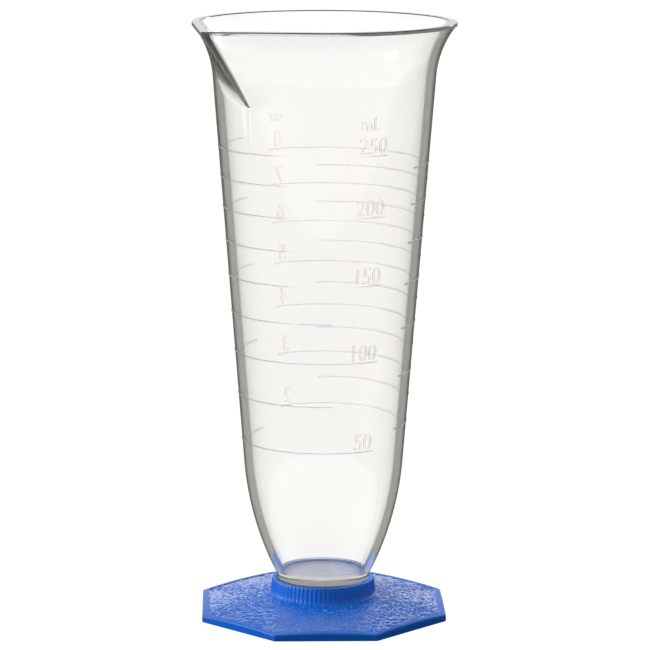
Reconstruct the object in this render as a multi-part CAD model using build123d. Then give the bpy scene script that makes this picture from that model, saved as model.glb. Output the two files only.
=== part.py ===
from build123d import *
from math import acos, cos, pi, radians, sin, sqrt, tan
import os

# Conical graduated measure: a clear moulded vessel with a flared rim and a V spout, whose foot
# ring stands in the collar of a separate octagonal base. It lifts straight up out of the collar.
# Millimetres, +Z up, origin on the table under the middle of the base. Two flats of the base
# are square to X and two to Y, and the spout points over the flat between -X and -Y.

# Base plate
base_sides = 8
base_across_flats = 75.0
skirt_height = 2.5           # side face, at the middle of a flat
base_top_slope = 8.8         # degrees, the top rises towards the collar
base_wall = 1.6
base_corner_radius = 0.6
base_edge_radius = 0.5
stiffener_width = 1.2
table_clearance = 0.4        # socket floor and stiffeners stay this far off the table

# Collar and socket
collar_height = 10.4
collar_wall = 1.25           # at the collar's top, over the grip ribs
collar_draft = 8.4           # degrees
grip_rib_count = 72
grip_rib_depth = 0.25
socket_floor = 2.0
socket_clearance = 0.05      # radial, foot ring in socket
socket_lead_in = 0.3

# Foot of the vessel
foot_ring_radius = 14.45
foot_ring_wall = 2.0
foot_ring_chamfer = 0.3
foot_band_height = 2.5       # plain band that shows between collar and bowl
foot_step = 0.5              # the bowl stands out past the foot ring
floor_thickness = 2.25
floor_drop = 0.2             # inner floor below the bowl's lower edge
floor_corner_radius = 0.6

# Wall of the vessel, outside, from the foot up: bowl arc, cone, flare arc, rim
wall = 2.25
bowl_radius = 95.0
bowl_angle = 26.3            # degrees from the vertical, at the foot
cone_angle = 4.5             # degrees from the vertical
cone_height = 119.3
flare_radius = 28.65
flare_angle = 38.0           # degrees from the vertical, under the rim
rim_height = 1.1
rim_lip = 0.3                # the rim stands out past the flare
rim_edge_radius = 0.3

# Spout
spout_direction = 225.0      # degrees from +X
spout_reach = 11.9           # from the rim to the tip
spout_depth = 23.5           # from the rim's top down to the lower end of the keel
keel_radius = 1.1
channel_radius = 0.8
keel_root_angle = 6.0        # degrees either side, where the keel leaves the round wall
keel_tip_angle = 1.5         # degrees either side, the keel itself at that place
spout_levels = (0.1, 0.25, 0.45, 0.7, 1.0)
open_end = 0.5               # the cavity is cut this far past the open rim

# Graduations, raised lines outside: volumes in millilitres, half lengths in degrees
millilitres_per_ounce = 29.5735
metric_marks = range(50, 251, 25)
metric_numbered_step = 50
metric_long = 80.0
metric_short = 49.5
half_ounce_marks = range(4, 17)
ounce_long = 78.5
ounce_short = 48.0
mark_width = 0.5
mark_height = 0.2
mark_root = 0.3              # how deep a line's root reaches into the wall
filling_step = 0.05          # height step of the volume sum

# Heights, from the sizes above
slope = radians(cone_angle)
foot_z = collar_height + foot_band_height
floor_z = foot_z - floor_drop
bowl_top_z = foot_z + bowl_radius * (sin(radians(bowl_angle)) - sin(slope))
cone_top_z = bowl_top_z + cone_height
rim_z = cone_top_z + flare_radius * (sin(radians(flare_angle)) - sin(slope))
top_z = rim_z + rim_height
keel_z = top_z - spout_depth

# Radii, from the sizes above
bowl_foot_radius = foot_ring_radius + foot_step
bowl_top_radius = bowl_foot_radius + bowl_radius * (cos(slope) - cos(radians(bowl_angle)))
cone_top_radius = bowl_top_radius + cone_height * tan(slope)
flare_end_radius = cone_top_radius + flare_radius * (cos(slope) - cos(radians(flare_angle)))
rim_radius = flare_end_radius + rim_lip
socket_radius = foot_ring_radius + socket_clearance
collar_radius = socket_radius + collar_wall
hub_radius = socket_radius + base_wall
half_flats = base_across_flats / 2
half_corners = half_flats / cos(pi / base_sides)

# Centres of the wall's two arcs, as (radius, height)
bowl_centre = (bowl_top_radius - bowl_radius * cos(slope), bowl_top_z + bowl_radius * sin(slope))
flare_centre = (cone_top_radius + flare_radius * cos(slope), cone_top_z - flare_radius * sin(slope))


# Heights where the wall passes from bowl to cone and from cone to flare, on the surface that
# lies inset inside the outer one
def wall_joints(inset):
    return bowl_top_z + inset * sin(slope), cone_top_z + inset * sin(slope)


# Radius of that surface at height z
def wall_radius(z, inset=0.0):
    bowl_end, cone_end = wall_joints(inset)
    if z < bowl_end:
        return bowl_centre[0] + sqrt((bowl_radius - inset) ** 2 - (bowl_centre[1] - z) ** 2)
    if z < cone_end:
        return bowl_top_radius + (z - bowl_top_z) * tan(slope) - inset / cos(slope)
    return flare_centre[0] - sqrt((flare_radius + inset) ** 2 - (z - flare_centre[1]) ** 2)


# The wall's curve between two heights, in the XZ plane
def wall_curve(inset, low_z, high_z):
    bowl_end, cone_end = wall_joints(inset)
    heights = [low_z] + [z for z in (bowl_end, cone_end) if low_z < z < high_z] + [high_z]
    spans = []
    for start, end in zip(heights, heights[1:]):
        low, middle, high = [(wall_radius(z, inset), 0, z) for z in (start, (start + end) / 2, end)]
        if start >= bowl_end and end <= cone_end:
            spans.append(Line(low, high))
        else:
            spans.append(ThreePointArc(low, middle, high))
    return spans


# A solid of revolution from the wall's curve and the straight lines that close it
def turned(curve, *corners):
    path = [curve[-1] @ 1] + [Vector(r, 0, z) for r, z in corners] + [curve[0] @ 0]
    lines = [Line(start, end) for start, end in zip(path, path[1:])]
    return revolve(make_face(curve + lines), Axis.Z)


# Reach of the spout's keel at height z, on the outer surface
def keel_reach(z):
    root = wall_radius(keel_z)
    rise = (z - keel_z) / (rim_z - keel_z)
    return root + rise * (flare_end_radius + spout_reach - root)


# Plan outline at height z with the spout towards +X: the round wall, and two straight sides
# that run from it to the rounded keel
def drop_outline(z, radius, reach, nose):
    centre = reach - nose
    turn = acos((radius - nose) / centre)
    side = Vector(radius * cos(turn), radius * sin(turn), z)
    corner = Vector(centre + nose * cos(turn), nose * sin(turn), z)
    side_back = Vector(side.X, -side.Y, z)
    corner_back = Vector(corner.X, -corner.Y, z)
    return make_face([
        ThreePointArc(side, (-radius, 0, z), side_back),
        Line(side_back, corner_back),
        ThreePointArc(corner_back, (reach, 0, z), corner),
        Line(corner, side),
    ])


# The round outline at the keel's lower end, divided like the drop outlines above it
def root_outline(z, radius):
    def on_wall(angle):
        return Vector(radius * cos(radians(angle)), radius * sin(radians(angle)), z)
    half = (keel_root_angle + keel_tip_angle) / 2
    return make_face([
        ThreePointArc(on_wall(keel_root_angle), on_wall(180), on_wall(-keel_root_angle)),
        ThreePointArc(on_wall(-keel_root_angle), on_wall(-half), on_wall(-keel_tip_angle)),
        ThreePointArc(on_wall(-keel_tip_angle), on_wall(0), on_wall(keel_tip_angle)),
        ThreePointArc(on_wall(keel_tip_angle), on_wall(half), on_wall(keel_root_angle)),
    ])


# The flare with its spout, from the keel's lower end up through the given heights
def spout_loft(inset, nose, heights):
    outlines = [root_outline(keel_z, wall_radius(keel_z, inset))]
    for z in heights:
        radius = wall_radius(z, inset)
        outlines.append(drop_outline(z, radius, keel_reach(z) * radius / wall_radius(z), nose))
    return Rot(0, 0, spout_direction) * loft(outlines)


# The upright land of the rim, which carries the flare and the spout to the top
def rim_land():
    outline = drop_outline(rim_z, rim_radius, rim_radius + spout_reach, keel_radius)
    return Rot(0, 0, spout_direction) * extrude(outline, rim_height)


# Height to which a volume in millilitres fills the vessel, summed in thin discs
def filling_height(volume):
    z = floor_z
    filled = 0.0
    while filled < volume:
        filled += pi * wall_radius(z + filling_step / 2, wall) ** 2 * filling_step / 1000
        z += filling_step
    return z


# One raised graduation line, centred on a direction and reaching half_angle to each side
def mark(volume, direction, half_angle):
    z = filling_height(volume)
    radius = wall_radius(z)
    crest = mark_width / 4
    root = mark_width / 2 + mark_root * crest / mark_height
    section = make_face(Polyline(
        (radius - mark_root, 0, z - root),
        (radius + mark_height, 0, z - crest),
        (radius + mark_height, 0, z + crest),
        (radius - mark_root, 0, z + root),
        close=True,
    ))
    return Rot(0, 0, direction - half_angle) * revolve(section, Axis.Z, 2 * half_angle)


# Millilitres on the spout's side and fluid ounces opposite it, long lines where a number stands
def marks():
    lines = []
    for volume in metric_marks:
        numbered = volume % metric_numbered_step == 0
        lines.append(mark(volume, spout_direction, metric_long if numbered else metric_short))
    for halves in half_ounce_marks:
        volume = halves / 2 * millilitres_per_ounce
        numbered = halves % 2 == 0
        lines.append(mark(volume, spout_direction + 180, ounce_long if numbered else ounce_short))
    return lines


def make_vessel():
    ring_inner = foot_ring_radius - foot_ring_wall
    under_floor = floor_z - floor_thickness
    body = turned(
        wall_curve(0, foot_z, keel_z),
        (0, keel_z),
        (0, under_floor),
        (ring_inner, under_floor),
        (ring_inner, socket_floor + foot_ring_chamfer),
        (ring_inner + foot_ring_chamfer, socket_floor),
        (foot_ring_radius - foot_ring_chamfer, socket_floor),
        (foot_ring_radius, socket_floor + foot_ring_chamfer),
        (foot_ring_radius, foot_z),
    )
    heights = [keel_z + level * (rim_z - keel_z) for level in spout_levels]
    body += spout_loft(0, keel_radius, heights)
    body += rim_land()
    body += marks()
    cavity = turned(wall_curve(wall, floor_z, keel_z), (0, keel_z), (0, floor_z))
    cavity = fillet(cavity.edges().group_by(Axis.Z)[0], floor_corner_radius)
    cavity += spout_loft(wall, channel_radius, heights + [top_z + open_end])
    body -= cavity
    return fillet(body.edges().group_by(Axis.Z)[-1], rim_edge_radius)


# Height of the base's sloping top at a radius, or of the surface that lies inset under it
def base_top(radius, inset=0.0):
    rise = tan(radians(base_top_slope))
    return skirt_height + (half_flats - radius) * rise - inset / cos(radians(base_top_slope))


# The base's octagon, drawn this far inside its outline
def octagon(inset):
    return RegularPolygon(half_flats - inset, base_sides, major_radius=False, rotation=180 / base_sides)


# Everything between the table and that surface, inside that octagon
def octagon_under(inset):
    section = make_face(Polyline(
        (0, 0, -base_wall),
        (half_corners, 0, -base_wall),
        (half_corners, 0, base_top(half_corners, inset)),
        (0, 0, base_top(0, inset)),
        close=True,
    ))
    return extrude(octagon(inset), base_top(0)) & revolve(section, Axis.Z)


# The sloping plate with its corners and upper edges rounded
def plate():
    body = octagon_under(0)
    body = fillet(body.edges().filter_by(Axis.Z), base_corner_radius)
    curved = body.edges().filter_by(GeomType.LINE, reverse=True)
    return fillet([edge for edge in curved if edge.center().Z > table_clearance], base_edge_radius)


# Star outline of the collar's grip ribs, with its crests on a circle of the given radius
def grip_outline(z, radius):
    points = []
    for i in range(2 * grip_rib_count):
        turn = pi * i / grip_rib_count
        reach = radius - grip_rib_depth * (i % 2)
        points.append((reach * cos(turn), reach * sin(turn), z))
    return make_face(Polyline(*points, close=True))


def collar():
    root_z = base_top(collar_radius) - base_wall / 2
    spread = (collar_height - root_z) * tan(radians(collar_draft))
    return loft([
        grip_outline(root_z, collar_radius + spread),
        grip_outline(collar_height, collar_radius),
    ])


# Space that the foot ring drops into, open at the top with a lead-in
def socket():
    section = make_face(Polyline(
        (0, 0, socket_floor),
        (socket_radius, 0, socket_floor),
        (socket_radius, 0, collar_height - socket_lead_in),
        (socket_radius + socket_lead_in, 0, collar_height),
        (0, 0, collar_height),
        close=True,
    ))
    return revolve(section, Axis.Z)


# Hollow underside: the space between skirt, socket hub and the stiffeners to the corners
def underside():
    hollow = octagon_under(base_wall) - extrude(Circle(hub_radius), collar_height)
    for i in range(base_sides):
        stiffener = Pos(half_corners / 2, 0, 0) * Box(
            half_corners, stiffener_width, collar_height,
            align=(Align.CENTER, Align.CENTER, Align.MIN),
        )
        hollow -= Rot(0, 0, 360 / base_sides * (i + 0.5)) * stiffener
    return hollow + extrude(octagon(base_wall), table_clearance)


def make_base():
    return plate() + collar() - socket() - underside()


os.makedirs("parts", exist_ok=True)
export_step(make_vessel(), "parts/graduated_vessel.step")
export_step(make_base(), "parts/octagonal_base.step")
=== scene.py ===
import bmesh
import bpy
from math import acos, atan2, cos, hypot, pi, radians, sin, sqrt, tan
from mathutils import Matrix, Vector
from mathutils.noise import voronoi


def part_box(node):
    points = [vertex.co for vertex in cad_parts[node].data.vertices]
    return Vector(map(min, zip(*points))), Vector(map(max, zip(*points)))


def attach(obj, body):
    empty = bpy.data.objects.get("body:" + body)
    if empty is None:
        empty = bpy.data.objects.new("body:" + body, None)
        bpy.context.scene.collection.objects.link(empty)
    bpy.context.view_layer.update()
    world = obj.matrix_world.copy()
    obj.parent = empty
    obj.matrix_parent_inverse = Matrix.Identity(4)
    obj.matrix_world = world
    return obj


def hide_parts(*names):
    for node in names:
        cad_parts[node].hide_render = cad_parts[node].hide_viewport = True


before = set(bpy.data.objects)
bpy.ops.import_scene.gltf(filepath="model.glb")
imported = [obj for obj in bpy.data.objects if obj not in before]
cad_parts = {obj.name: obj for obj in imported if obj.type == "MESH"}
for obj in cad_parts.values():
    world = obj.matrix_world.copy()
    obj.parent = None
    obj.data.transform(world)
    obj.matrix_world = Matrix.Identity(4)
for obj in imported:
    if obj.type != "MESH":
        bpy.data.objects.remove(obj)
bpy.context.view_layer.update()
print("frame loaded:", sorted(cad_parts))

# modelling sizes are in millimetres and degrees, and a finished mesh is brought to metres
mm = 0.001
smallest = 1e-4
hold = 0.05  # from the end of an arc to the extra ring that keeps the faces beside it flat


# small helpers

def linearColour(hexCode):
    parts = [int(hexCode[i:i + 2], 16) / 255 for i in (1, 3, 5)]
    return [p / 12.92 if p <= 0.04045 else ((p + 0.055) / 1.055) ** 2.4 for p in parts] + [1.0]


def grey(level):
    return [level] * 3 + [1]


# an input, by name or number, takes a value or another node's output; other names are properties
def addNode(tree, kind, settings=None):
    node = tree.nodes.new(kind)
    for name, value in (settings or {}).items():
        if not isinstance(name, int) and name not in node.inputs:
            setattr(node, name, value)
        elif hasattr(value, "is_linked"):
            tree.links.new(value, node.inputs[name])
        else:
            node.inputs[name].default_value = value
    return node


def newMaterial(name):
    material = bpy.data.materials.new(name)
    material.use_nodes = True
    material.node_tree.nodes.clear()
    return material, material.node_tree


def mathNode(tree, operation, first, second):
    return addNode(tree, "ShaderNodeMath", {"operation": operation, 0: first, 1: second}).outputs[0]


# 6 and 7 are the colour inputs of a mix node and 2 is its colour output
def blendColour(tree, factor, first, second):
    return addNode(tree, "ShaderNodeMix", {"data_type": "RGBA", 0: factor, 6: first, 7: second}).outputs[2]


# brings a value between 0 and 1 to the range from low to high
def toRange(tree, value, low, high):
    node = addNode(tree, "ShaderNodeMapRange", {"To Min": low, "To Max": high, "Value": value})
    return node.outputs["Result"]


# 0 up to start and 1 from end on, with a soft step between
def softStep(tree, value, start, end):
    node = addNode(tree, "ShaderNodeMapRange", {"interpolation_type": "SMOOTHSTEP", "From Min": start,
                                                "From Max": end, "Value": value})
    return node.outputs["Result"]


def objectNoise(tree, perMetre, detail):
    coords = addNode(tree, "ShaderNodeTexCoord")
    noise = addNode(tree, "ShaderNodeTexNoise", {"Scale": perMetre, "Detail": detail,
                                                 "Vector": coords.outputs["Object"]})
    return noise.outputs["Fac"]


def wrapAngle(angle):
    return (angle + pi) % (2 * pi) - pi


# count values from low up to, but without, high
def spread(low, high, count):
    return [low + (high - low) * i / count for i in range(count)]


# points of an arc in the profile's plane, angles from the radial direction, with one more point
# close by at each end
def arcPoints(centre, radius, startAngle, endAngle, count):
    turns = [radians(startAngle + (endAngle - startAngle) * i / count) for i in range(count + 1)]
    points = [(centre[0] + radius * cos(t), centre[1] + radius * sin(t)) for t in turns]
    way = hold if endAngle > startAngle else -hold
    first, last = turns[0], turns[-1]
    before = (points[0][0] + way * sin(first), points[0][1] - way * cos(first))
    after = (points[-1][0] - way * sin(last), points[-1][1] + way * cos(last))
    return [before] + points + [after]


# turns a profile, a list of (radius, height), once round the Z axis
def turnProfile(profile, steps):
    bm = bmesh.new()
    verts = [bm.verts.new((r, 0, z)) for r, z in profile]
    edges = [bm.edges.new(pair) for pair in zip(verts, verts[1:])]
    bmesh.ops.spin(bm, geom=verts + edges, cent=(0, 0, 0), axis=(0, 0, 1), angle=2 * pi,
                   steps=steps, use_merge=True)
    bmesh.ops.remove_doubles(bm, verts=bm.verts, dist=smallest)
    bmesh.ops.recalc_face_normals(bm, faces=bm.faces)
    return bm


# brings a bmesh in millimetres to a finished object in metres
def finishPiece(bm, name, materials, sharpAngle):
    bm.normal_update()
    for edge in bm.edges:
        edge.smooth = edge.calc_face_angle(0) < radians(sharpAngle)
    for face in bm.faces:
        face.smooth = True
    bmesh.ops.scale(bm, vec=(mm, mm, mm), verts=bm.verts)
    mesh = bpy.data.meshes.new(name)
    bm.to_mesh(mesh)
    bm.free()
    for material in materials:
        mesh.materials.append(material)
    piece = bpy.data.objects.new(name, mesh)
    bpy.context.scene.collection.objects.link(piece)
    return piece


# reach of a rounded corner between two straight sides, at an angle from the corner's direction:
# the sides lie flatDistance from the axis and square to it at flatAngle either way
def cornerReach(angle, flatDistance, flatAngle, nose):
    away = abs(angle)
    centre = (flatDistance - nose) / cos(flatAngle)
    tangent = atan2(nose * sin(flatAngle), centre + nose * cos(flatAngle))
    if away < tangent:
        return centre * cos(away) + sqrt(nose ** 2 - (centre * sin(away)) ** 2)
    return flatDistance / cos(flatAngle - away)


# clear plastic, shared by the vessel and its figures

clear = {
    "refraction": 1.585,
    "transmission": 0.98,      # the rest is haze, which keeps the darks inside it soft
    "faceOn": "#FEFDFC",
    "paintedEdgeShade": "#8E8D82",
    # painted shade, dark olive, on the rim's rounded edges for its outline
    "rim": "#3A382E",
    "edgeFrom": 0.75,          # facing at which the painted edge shade begins, and is full
    "edgeTo": 0.81,
    "roughLow": 0.015,
    "roughHigh": 0.04,
    "absorbed": "#CDCABE",
    "density": 10.0,
    "shade": "#F2F2EE",        # light left behind a clear wall
}


# clear polycarbonate, injection moulded and polished: colourless where a wall is faced, with a painted olive
# grey shade where it is met edge on, which darkens its edges; what several millimetres of it absorb is in
# its volume
def clearPlastic(name, faceOn, paintedEdgeShade):
    material, tree = newMaterial(name)
    waviness = objectNoise(tree, 55.0, 1.0)
    bump = addNode(tree, "ShaderNodeBump", {"Strength": 0.05, "Distance": 0.2 * mm, "Height": waviness})
    # painted shade: the wall's colour darkens to olive grey as it is met edge on
    facing = addNode(tree, "ShaderNodeLayerWeight", {"Blend": 0.5}).outputs["Facing"]
    tintAndEdgeShade = blendColour(tree, softStep(tree, facing, clear["edgeFrom"], clear["edgeTo"]),
                       linearColour(faceOn), linearColour(paintedEdgeShade))
    plastic = addNode(tree, "ShaderNodeBsdfPrincipled",
                      {"IOR": clear["refraction"], "Transmission Weight": clear["transmission"],
                       "Base Color": tintAndEdgeShade, "Normal": bump.outputs["Normal"],
                       "Roughness": toRange(tree, waviness, clear["roughLow"], clear["roughHigh"])})
    # lamps reach what stands behind the clear walls
    path = addNode(tree, "ShaderNodeLightPath")
    through = addNode(tree, "ShaderNodeBsdfTransparent", {"Color": linearColour(clear["shade"])})
    mixed = addNode(tree, "ShaderNodeMixShader", {0: path.outputs["Is Shadow Ray"],
                                                  1: plastic.outputs["BSDF"], 2: through.outputs["BSDF"]})
    absorb = addNode(tree, "ShaderNodeVolumeAbsorption", {"Color": linearColour(clear["absorbed"]),
                                                          "Density": clear["density"]})
    addNode(tree, "ShaderNodeOutputMaterial", {"Surface": mixed.outputs["Shader"],
                                               "Volume": absorb.outputs["Volume"]})
    return material


# the clear vessel

vessel = {
    "wall": 2.25,
    "footZ": 12.9,             # lower edge of the bowl
    "footRadius": 14.45,       # foot ring
    "footStep": 0.5,
    "footWall": 2.0,
    "footChamfer": 0.3,
    "floorDrop": 0.2,
    "floorCorner": 0.6,
    "bowlRadius": 95.0,
    "bowlAngle": 26.3,         # from the vertical, as are the next angles
    "coneAngle": 4.5,
    "coneHeight": 119.3,
    "flareRadius": 28.65,
    "flareAngle": 38.0,
    "rimLip": 0.3,
    "rimEdge": 0.3,
    "edgeSteps": 4,
    "edgeLow": 0.12,           # upward share of the normals on the rim's rounded edges, which take the painted dark shade
    "edgeHigh": 0.99,
    "steps": 384,              # round the axis
    "crowding": 0.8,           # how much the steps crowd together at the spout
    "bowlSteps": 14,
    "innerLevels": [90.0, 130.0],
    "partingHeight": 0.05,     # mould line, square to the spout
    "partingAngle": 1.0,
    "sharp": 28,
    "spout": {
        "direction": 225.0,
        "reach": 11.9,
        "depth": 23.5,
        "keelRadius": 1.1,
        "channelRadius": 0.8,
        "steps": 26,
        "stepPower": 1.4,      # how much its levels crowd together at the lower end
    },
    "scale": {
        "metricMarks": range(50, 251, 25),
        "metricNumbered": 50,
        "metricLong": 80.0,    # half the line's length round the wall, as are the next three
        "metricShort": 49.5,
        "halfOunces": range(4, 17),
        "ounceLong": 78.5,
        "ounceShort": 48.0,
        "millilitresPerOunce": 29.5735,
        "cubicPerMillilitre": 1000,
        "width": 0.5,
        "height": 0.2,
        "fillingStep": 0.05,
    },
}
spout, scale = vessel["spout"], vessel["scale"]
slope, bowlTilt, flareTilt = (radians(vessel[a]) for a in ("coneAngle", "bowlAngle", "flareAngle"))
spoutTurn = radians(spout["direction"])
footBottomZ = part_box("graduated_vessel")[0].z / mm
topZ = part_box("graduated_vessel")[1].z / mm
innerEnd = topZ - vessel["rimEdge"]
floorZ = vessel["footZ"] - vessel["floorDrop"]
bowlTopZ = vessel["footZ"] + vessel["bowlRadius"] * (sin(bowlTilt) - sin(slope))
coneTopZ = bowlTopZ + vessel["coneHeight"]
rimZ = coneTopZ + vessel["flareRadius"] * (sin(flareTilt) - sin(slope))
keelZ = topZ - spout["depth"]
bowlTopRadius = (vessel["footRadius"] + vessel["footStep"]
                 + vessel["bowlRadius"] * (cos(slope) - cos(bowlTilt)))
coneTopRadius = bowlTopRadius + vessel["coneHeight"] * tan(slope)
flareEndRadius = coneTopRadius + vessel["flareRadius"] * (cos(slope) - cos(flareTilt))
rimRadius = flareEndRadius + vessel["rimLip"]
bowlCentre = (bowlTopRadius - vessel["bowlRadius"] * cos(slope),
              bowlTopZ + vessel["bowlRadius"] * sin(slope))
flareCentre = (coneTopRadius + vessel["flareRadius"] * cos(slope),
               coneTopZ - vessel["flareRadius"] * sin(slope))
markEdge, markCrest = scale["width"] / 2, scale["width"] / 4


# radius of the surface that lies inset inside the outer wall
def wallRadius(z, inset=0.0):
    if z < bowlTopZ + inset * sin(slope):
        return bowlCentre[0] + sqrt((vessel["bowlRadius"] - inset) ** 2 - (bowlCentre[1] - z) ** 2)
    if z < coneTopZ + inset * sin(slope):
        return bowlTopRadius + (z - bowlTopZ) * tan(slope) - inset / cos(slope)
    return flareCentre[0] - sqrt((vessel["flareRadius"] + inset) ** 2 - (z - flareCentre[1]) ** 2)


# level of a liquid of so many millilitres
def fillingHeight(volume):
    z, filled, step = floorZ, 0.0, scale["fillingStep"]
    while filled < volume:
        filled += pi * wallRadius(z + step / 2, vessel["wall"]) ** 2 * step / scale["cubicPerMillilitre"]
        z += step
    return z


# every graduation line as (height, direction, half its length)
def graduations():
    lines = []
    for volume in scale["metricMarks"]:
        length = "metricShort" if volume % scale["metricNumbered"] else "metricLong"
        lines.append((fillingHeight(volume), spout["direction"], scale[length]))
    for halves in scale["halfOunces"]:
        length = "ounceShort" if halves % 2 else "ounceLong"
        volume = halves / 2 * scale["millilitresPerOunce"]
        lines.append((fillingHeight(volume), spout["direction"] + 180, scale[length]))
    return lines


# reach of the spout over the round wall's radius, at height z
def spoutRatio(z):
    z = min(z, rimZ)
    root = wallRadius(keelZ)
    rise = (z - keelZ) / (rimZ - keelZ)
    return (root + rise * (flareEndRadius + spout["reach"] - root)) / wallRadius(z)


# up the foot ring and the outer wall, over the rim, down the inner wall to the middle of the floor
def vesselProfile(lines):
    wall, edge, corner = vessel["wall"], vessel["rimEdge"], vessel["floorCorner"]
    foot, chamfer, steps = vessel["footRadius"], vessel["footChamfer"], vessel["edgeSteps"]
    ringInner = foot - vessel["footWall"]
    bowl = spread(vessel["footZ"], bowlTopZ, vessel["bowlSteps"])
    spoutLevels = [keelZ + (rimZ - keelZ) * (i / spout["steps"]) ** spout["stepPower"]
                   for i in range(spout["steps"] + 1)]
    markLevels = [z + offset for z, direction, halfAngle in lines
                  for offset in (-markEdge, -markCrest, markCrest, markEdge)]
    outer = sorted(bowl + [bowlTopZ] + markLevels + spoutLevels)
    inner = sorted(spread(floorZ + corner, bowlTopZ, vessel["bowlSteps"])[1:] + [bowlTopZ]
                   + vessel["innerLevels"] + [z for z in spoutLevels if z < innerEnd - edge])
    lip = wallRadius(innerEnd, wall)
    floorEdge = wallRadius(floorZ + corner, wall)
    profile = [
        (0, floorZ - wall),
        (ringInner, floorZ - wall),
        (ringInner, footBottomZ + chamfer),
        (ringInner + chamfer, footBottomZ),
        (foot - chamfer, footBottomZ),
        (foot, footBottomZ + chamfer),
        (foot, vessel["footZ"]),
    ]
    profile += [(wallRadius(z), z) for z in outer]
    profile += [(rimRadius, rimZ + smallest)]
    profile += arcPoints((rimRadius - edge, topZ - edge), edge, 0, 90, steps)
    profile += arcPoints((lip + edge, innerEnd), edge, 90, 180, steps)[:-2]
    profile += [(wallRadius(z, wall), z) for z in [innerEnd, innerEnd - hold] + inner[::-1]]
    profile += arcPoints((floorEdge - corner, floorZ + corner), corner, 0, -90, steps)
    profile += [(floorEdge / 2, floorZ), (0, floorZ)]
    return profile


# draws the spout out of the round wall and raises the mould line and the graduation lines
def shapeVessel(bm, lines):
    crests = {}
    for z, direction, halfAngle in lines:
        for level in (z - markCrest, z + markCrest):
            crests[round(level, 3)] = (radians(direction), radians(halfAngle))
    parting = radians(vessel["partingAngle"])
    for v in bm.verts:
        r, z = hypot(v.co.x, v.co.y), v.co.z
        if r < smallest:
            continue
        turn = wrapAngle(atan2(v.co.y, v.co.x) - spoutTurn)
        turn -= vessel["crowding"] * sin(turn)
        outside = r > wallRadius(min(max(z, vessel["footZ"]), rimZ)) - vessel["wall"] / 2
        if z > keelZ + smallest:
            reach = r * spoutRatio(z)
            nose = spout["keelRadius"] if outside else spout["channelRadius"]
            flatAngle = acos((r - nose) / (reach - nose))
            if abs(turn) < flatAngle:
                r = cornerReach(turn, r, flatAngle, nose)
        elif outside and z > vessel["footZ"] + smallest:
            off = abs(abs(turn) - pi / 2)
            if off < parting:
                r += vessel["partingHeight"] * (1 - off / parting)
            if round(z, 3) in crests:
                direction, halfAngle = crests[round(z, 3)]
                if abs(wrapAngle(turn + spoutTurn - direction)) < halfAngle:
                    r += scale["height"]
        v.co = (r * cos(turn + spoutTurn), r * sin(turn + spoutTurn), z)


def makeVessel():
    lines = graduations()
    bm = turnProfile(vesselProfile(lines), vessel["steps"])
    shapeVessel(bm, lines)
    bm.normal_update()
    # the rim's rounded edges get a painted dark shade for its outline, and the land between them stays clear
    for face in bm.faces:
        rounded = vessel["edgeLow"] < face.normal.z < vessel["edgeHigh"]
        if rounded and face.calc_center_median().z > innerEnd:
            face.material_index = 1
    wall = clearPlastic("clearPolycarbonate", clear["faceOn"], clear["paintedEdgeShade"])
    # painted shade: the rim's rounded edges take this dark tint all over
    rim = clearPlastic("clearPolycarbonateRimShade", clear["rim"], clear["rim"])
    return finishPiece(bm, "clear_vessel", [wall, rim], vessel["sharp"])


# raised figures on the wall

figures = {
    "metricNumbers": range(50, 251, 50),
    "ounceNumbers": range(2, 9),
    "metricRight": 303.6,      # direction of the right end of the figures
    "ounceRight": 120.0,
    "gap": 0.8,                # from the line up to the figures
    "height": 5.2,             # of a figure
    "width": 0.88,             # of a figure, over the font's own
    "relief": 0.3,
    "lift": 0.01,              # figures' backs stand this far off the wall
    "metricUnitRight": 298.7,
    "metricUnitZ": 153.6,
    "ounceUnitRight": 122.4,
    "ounceUnitZ": 149.4,
    "unitHeight": 4.2,
    "capShare": 0.73,          # height of a figure over the font's size
    "curveSteps": 6,
    "sharp": 40,
}


def makeFigure(text, name, right, z, height):
    curve = bpy.data.curves.new(name, "FONT")
    curve.body = text
    curve.align_x = "RIGHT"
    curve.size = height / figures["capShare"]
    curve.extrude = figures["relief"] / 2
    curve.resolution_u = figures["curveSteps"]
    lettering = bpy.data.objects.new(name, curve)
    bpy.context.scene.collection.objects.link(lettering)
    evaluated = lettering.evaluated_get(bpy.context.evaluated_depsgraph_get())
    flat = bpy.data.meshes.new_from_object(evaluated)
    bpy.data.objects.remove(lettering)
    bm = bmesh.new()
    bm.from_mesh(flat)
    bmesh.ops.remove_doubles(bm, verts=bm.verts, dist=smallest)
    # bend the flat lettering round the wall
    for v in bm.verts:
        wallZ = z + v.co.y
        r = wallRadius(wallZ)
        turn = radians(right) + v.co.x * figures["width"] / r
        r += v.co.z + figures["relief"] / 2 + figures["lift"]
        v.co = (r * cos(turn), r * sin(turn), wallZ)
    return finishPiece(bm, name, [bpy.data.materials["clearPolycarbonate"]], figures["sharp"])


def makeFigures():
    rows = [(str(n), f"figure_{n}_mL", "metricRight", fillingHeight(n)) for n in figures["metricNumbers"]]
    rows += [(str(n), f"figure_{n}_oz", "ounceRight", fillingHeight(n * scale["millilitresPerOunce"]))
             for n in figures["ounceNumbers"]]
    made = [makeFigure(text, name, figures[right], z + figures["gap"], figures["height"])
            for text, name, right, z in rows]
    for unit, kind in (("mL", "metric"), ("oz", "ounce")):
        made.append(makeFigure(unit, f"unit_{unit}", figures[kind + "UnitRight"],
                               figures[kind + "UnitZ"], figures["unitHeight"]))
    return made


# the octagonal base

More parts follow.
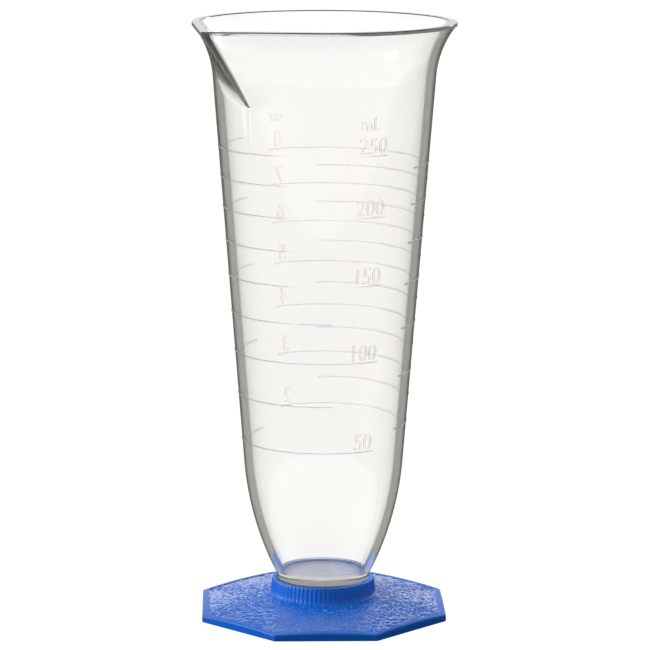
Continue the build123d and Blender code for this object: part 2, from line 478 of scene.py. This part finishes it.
base = {
    "sides": 8,
    "halfFlats": 37.5,
    "skirt": 2.5,
    "skirtChamfer": 0.15,
    "topSlope": 8.8,
    "wall": 1.6,
    "cornerRadius": 0.6,
    "edgeRadius": 0.5,
    "edgeSteps": 5,
    "clearance": 0.4,          # underside off the table
    "border": 1.9,             # polished margin round the grained top
    "collarTop": 10.4,
    "collarRadius": 15.75,
    "collarDraft": 8.4,
    "collarEdge": 0.2,
    "collarEdgeFrom": 30,
    "collarEdgeSteps": 3,
    "collarRings": (7.2, 8.4, 9.4),
    "fillet": 0.4,             # at the collar's root, with one point between its ends
    "filletOut": 0.1,
    "filletUp": 0.08,
    "roundTo": 0.2,            # beyond the collar's root the rings start to turn octagonal
    "ribs": 72,
    "ribDepth": 0.18,
    "ribFrom": 0.05,           # above the collar's root
    "ribInto": 0.19,           # how far inside the collar's top radius ribs are still pressed
    "stepsPerRib": 8,
    "socketRadius": 14.5,
    "socketFloor": 2.0,
    "leadIn": 0.3,
    "crowding": 0.8,           # how much the steps crowd together at the corners
    "ringStep": 0.3,           # between the rings that carry the grain
    "grain": 0.95,             # across a pebble of the grain
    "grainHeight": 0.5,
    "grainInset": 0.1,         # the grain's relief ends this far inside the polished margin
    "grainFacing": 0.9,        # upward share of the normals that take the grained material
    "grainFrom": 0.3,          # beyond the collar's root
    "borderSlack": 0.01,
    "colour": "#0061CB",
    "refraction": 1.49,
    "sharp": 35,
}


# height of the sloping top, or of the surface that lies inset below it
def baseTop(radius, inset=0.0):
    rise = tan(radians(base["topSlope"]))
    return base["skirt"] + (base["halfFlats"] - radius) * rise - inset / cos(radians(base["topSlope"]))


draft = tan(radians(base["collarDraft"]))
rootRadius = base["collarRadius"] + (base["collarTop"] - baseTop(base["collarRadius"])) * draft
rootZ = baseTop(rootRadius)
borderRadius = base["halfFlats"] - base["border"]


# distance of a point from the axis, measured square to the nearest flat
def flatDistance(point):
    fromFlat = wrapAngle(atan2(point.y, point.x) * base["sides"]) / base["sides"]
    return hypot(point.x, point.y) * cos(fromFlat)


# along the underside, up the skirt, in over the top, up the collar and down into the socket
def baseProfile():
    flats, edge, wall = base["halfFlats"], base["edgeRadius"], base["wall"]
    chamfer, collarEdge, fillet = base["skirtChamfer"], base["collarEdge"], base["fillet"]
    hub = base["socketRadius"] + wall
    tilt = radians(base["topSlope"])
    under = [
        (0, base["clearance"]),
        (hub, base["clearance"]),
        (hub, baseTop(hub, wall)),
        (flats - wall, baseTop(flats - wall, wall)),
        (flats - wall, 0.0),
        (flats - chamfer, 0.0),
        (flats, chamfer),
    ]
    # the skirt's upper edge, rounded between the upright side and the sloping top
    edgeCentre = (flats - edge, baseTop(flats) - edge * (1 / cos(tilt) - tan(tilt)))
    rounding = arcPoints(edgeCentre, edge, 0, 90 - base["topSlope"], base["edgeSteps"])
    ringCount = round((borderRadius - rootRadius - fillet) / base["ringStep"])
    rings = spread(borderRadius, rootRadius + fillet, ringCount) + [rootRadius + fillet]
    top = [(r, baseTop(r)) for r in rings]
    collar = [
        (rootRadius + base["filletOut"], rootZ + base["filletUp"]),
        (rootRadius - fillet * draft, rootZ + fillet),
    ]
    collar += [(base["collarRadius"] + (base["collarTop"] - z) * draft, z)
               for z in (*base["collarRings"], base["collarTop"] - collarEdge)]
    collar += arcPoints((base["collarRadius"] - collarEdge, base["collarTop"] - collarEdge), collarEdge,
                        base["collarEdgeFrom"], 90, base["collarEdgeSteps"])
    inside = [
        (base["socketRadius"] + base["leadIn"], base["collarTop"]),
        (base["socketRadius"], base["collarTop"] - base["leadIn"]),
        (base["socketRadius"], base["socketFloor"]),
        (0, base["socketFloor"]),
    ]
    return under + rounding + top + collar + inside


# draws the plate out to its octagon, grains its top and presses the collar's ribs
def shapeBase(bm):
    flats, sides = base["halfFlats"], base["sides"]
    halfSide = pi / sides
    drop = tan(radians(base["topSlope"]))
    for v in bm.verts:
        r, z = hypot(v.co.x, v.co.y), v.co.z
        if r < smallest:
            continue
        turn = atan2(v.co.y, v.co.x)
        if r > rootRadius + base["roundTo"]:
            # outwards from the collar the rings pass from round to octagonal
            share = (r - rootRadius - base["roundTo"]) / (borderRadius - rootRadius - base["roundTo"])
            share = min(1.0, share)
            fromCorner = wrapAngle((turn - halfSide) * sides) / sides
            shift = share * base["crowding"] * sin(fromCorner * sides) / sides
            turn -= shift
            outline = cornerReach(fromCorner - shift, flats, halfSide, base["cornerRadius"]) / flats
            stretched = r * (1 + share * (outline - 1))
            if z > base["clearance"]:
                z -= (stretched - r) * drop
            grained = r < borderRadius - base["grainInset"]
            r = stretched
            if grained:
                place = Vector((r * cos(turn), r * sin(turn), 0)) / base["grain"]
                z -= base["grainHeight"] * min(1.0, voronoi(place)[0][0])
        elif z > rootZ + base["ribFrom"] and r > base["collarRadius"] - base["ribInto"]:
            r -= base["ribDepth"] * (0.5 - 0.5 * cos(base["ribs"] * turn))
        v.co = (r * cos(turn), r * sin(turn), z)


def makeBase():
    bm = turnProfile(baseProfile(), base["ribs"] * base["stepsPerRib"])
    shapeBase(bm)
    bm.normal_update()
    for face in bm.faces:
        centre = face.calc_center_median()
        onTop = face.normal.z > base["grainFacing"]
        if onTop and hypot(centre.x, centre.y) > rootRadius + base["grainFrom"]:
            outermost = max(flatDistance(v.co) for v in face.verts)
            face.material_index = 1 if outermost < borderRadius + base["borderSlack"] else 0
    return finishPiece(bm, "base_moulding", [polishedPolypropylene(), grainedPolypropylene()], base["sharp"])


# blue polypropylene from a polished steel mould: an even colour with a soft gloss
def polishedPolypropylene():
    material, tree = newMaterial("polishedBluePolypropylene")
    gloss = toRange(tree, objectNoise(tree, 400.0, 3.0), 0.3, 0.4)
    plastic = addNode(tree, "ShaderNodeBsdfPrincipled",
                      {"Base Color": linearColour(base["colour"]), "IOR": base["refraction"],
                       "Specular IOR Level": 0.3, "Roughness": gloss})
    addNode(tree, "ShaderNodeOutputMaterial", {"Surface": plastic.outputs["BSDF"]})
    return material


# the same polypropylene from a pebble-etched mould: each pebble catches the light by itself
def grainedPolypropylene():
    material, tree = newMaterial("grainedBluePolypropylene")
    pebbles = objectNoise(tree, 2.0 / (base["grain"] * mm), 1.0)
    bump = addNode(tree, "ShaderNodeBump", {"Strength": 0.4, "Distance": 0.1 * mm, "Height": pebbles})
    plastic = addNode(tree, "ShaderNodeBsdfPrincipled",
                      {"Base Color": linearColour(base["colour"]), "IOR": base["refraction"],
                       "Roughness": 0.12, "Coat Weight": 0.6, "Coat Roughness": 0.08, "Coat IOR": 1.5,
                       "Normal": bump.outputs["Normal"]})
    addNode(tree, "ShaderNodeOutputMaterial", {"Surface": plastic.outputs["BSDF"]})
    return material


# the studio: surroundings, floor, lamps, camera

studio = {
    "floorRadius": 1.5,        # metres
    "floorSegments": 96,
    "floorColour": "#66665F",  # grey paper, which is what polished surfaces see in it
    "white": 1.1,              # the background as the camera and clear walls see it
    "shadow": 0.1,             # share of the floor's own light in that white
    "ceiling": "#6A6A66",      # what polished surfaces see overhead
    "ceilingLow": 14.0,        # above the horizon, as are the next angles
    "ceilingHigh": 45.0,
    "softboxLow": 48.0,
    "softboxHigh": 56.0,
    "softbox": 1.8,
    "below": 0.2,
    "ambient": 0.3,
    "insideWalls": 0.28,       # share of the white left after reflections inside clear walls
    "glossyBounces": 10,
    "lampsAim": (0, 0, 0.06),  # metres
    "sharp": 30,
}


# how much of the white background a ray brings: all of it when it comes straight or through clear
# walls, a share of it when it was thrown about inside them, none of it by a plain reflection
def whiteShare(tree):
    path = addNode(tree, "ShaderNodeLightPath").outputs
    straight = mathNode(tree, "LESS_THAN", path["Glossy Depth"], 0.5)
    shown = mathNode(tree, "MAXIMUM", path["Is Camera Ray"], path["Is Transmission Ray"])
    direct = mathNode(tree, "MULTIPLY", straight, shown)
    inside = mathNode(tree, "MULTIPLY", path["Is Transmission Ray"], studio["insideWalls"])
    return mathNode(tree, "MAXIMUM", direct, inside)


def makeWorld():
    world = bpy.data.worlds.new("studio")
    bpy.context.scene.world = world
    world.use_nodes = True
    tree = world.node_tree
    tree.nodes.clear()
    direction = addNode(tree, "ShaderNodeTexCoord")
    height = addNode(tree, "ShaderNodeSeparateXYZ", {0: direction.outputs["Generated"]}).outputs["Z"]
    ceilingLow, ceilingHigh, softboxLow, softboxHigh = (
        sin(radians(studio[name])) for name in ("ceilingLow", "ceilingHigh", "softboxLow", "softboxHigh"))
    white = grey(studio["white"])
    overhead = softStep(tree, height, ceilingLow, ceilingHigh)
    seen = blendColour(tree, overhead, white, linearColour(studio["ceiling"]))
    softbox = softStep(tree, height, softboxLow, softboxHigh)
    seen = blendColour(tree, softbox, seen, grey(studio["softbox"]))
    seen = blendColour(tree, mathNode(tree, "LESS_THAN", height, 0.0), seen, grey(studio["below"]))
    diffuse = addNode(tree, "ShaderNodeLightPath").outputs["Is Diffuse Ray"]
    seen = blendColour(tree, diffuse, seen, grey(studio["ambient"]))
    seen = blendColour(tree, whiteShare(tree), seen, white)
    background = addNode(tree, "ShaderNodeBackground", {"Strength": 1.0, "Color": seen})
    addNode(tree, "ShaderNodeOutputWorld", {"Surface": background.outputs[0]})


# matt grey paper with the white background's glow in it: it holds the object's soft shadow
def paperFloor():
    material, tree = newMaterial("paperFloor")
    paper = addNode(tree, "ShaderNodeBsdfDiffuse", {"Color": linearColour(studio["floorColour"])})
    glow = grey(studio["white"] - studio["shadow"])
    lit = blendColour(tree, whiteShare(tree), grey(0), glow)
    emission = addNode(tree, "ShaderNodeEmission", {"Color": lit})
    both = addNode(tree, "ShaderNodeAddShader", {0: paper.outputs[0], 1: emission.outputs[0]})
    addNode(tree, "ShaderNodeOutputMaterial", {"Surface": both.outputs[0]})
    return material


def makeFloor():
    bm = bmesh.new()
    bmesh.ops.create_circle(bm, cap_ends=True, segments=studio["floorSegments"],
                            radius=studio["floorRadius"] / mm)
    floor = finishPiece(bm, "studio_floor", [paperFloor()], studio["sharp"])


# places and sizes in metres, powers in watts
lamps = {
    "key": {"place": (-1.0, -0.12, 0.36), "size": 0.3, "power": 9.0, "reflected": True},
    "fill": {"place": (0.2, -0.9, 0.9), "size": 0.6, "power": 1.5, "reflected": False},
    "back": {"place": (0.75, 1.0, 0.42), "size": 0.25, "power": 1.5, "reflected": True},
}


def makeLamps():
    for name, lamp in lamps.items():
        light = bpy.data.lights.new(name, "AREA")
        light.size = lamp["size"]
        light.energy = lamp["power"]
        holder = bpy.data.objects.new(name, light)
        holder.location = lamp["place"]
        holder.visible_glossy = lamp["reflected"]
        holder.visible_transmission = False
        aim = Vector(studio["lampsAim"]) - holder.location
        holder.rotation_euler = aim.to_track_quat("-Z", "Y").to_euler()
        bpy.context.scene.collection.objects.link(holder)


view = {
    "azimuth": -1.5,           # round the object's axis
    "distance": 0.98514,       # metres from the axis, level
    "height": 0.27112,         # metres
    "down": 10.422,
    "roll": 0.172,
    "aside": -0.0228,
    "focalPixels": 3260.98,
    "imagePixels": 650,
    "sensor": 36.0,
    "clipEnd": 100,            # metres
}


def makeCamera():
    camera = bpy.data.cameras.new("camera")
    camera.sensor_width = view["sensor"]
    camera.lens = view["focalPixels"] / view["imagePixels"] * camera.sensor_width
    camera.clip_end = view["clipEnd"]
    holder = bpy.data.objects.new("camera", camera)
    bpy.context.scene.collection.objects.link(holder)
    turned = Matrix.Rotation(radians(view["azimuth"]), 4, "Z")
    placed = Matrix.Translation((0, -view["distance"], view["height"]))
    aimed = (Matrix.Rotation(radians(view["aside"]), 4, "Z")
             @ Matrix.Rotation(radians(90 - view["down"]), 4, "X")
             @ Matrix.Rotation(radians(view["roll"]), 4, "Z"))
    holder.matrix_world = turned @ placed @ aimed
    bpy.context.scene.camera = holder


bpy.context.scene.view_settings.view_transform = "Standard"
# light is passed on many times inside the rim and the spout's keel
bpy.context.scene.cycles.glossy_bounces = studio["glossyBounces"]
makeCamera()
makeWorld()
makeFloor()
makeLamps()
print("studio made")

vesselPiece = makeVessel()
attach(vesselPiece, "vessel")
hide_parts("graduated_vessel")
print("vessel made:", len(vesselPiece.data.polygons), "faces")
for figure in makeFigures():
    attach(figure, "vessel")
print("figures made")
basePiece = makeBase()
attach(basePiece, "base")
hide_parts("octagonal_base")
print("base made:", len(basePiece.data.polygons), "faces")
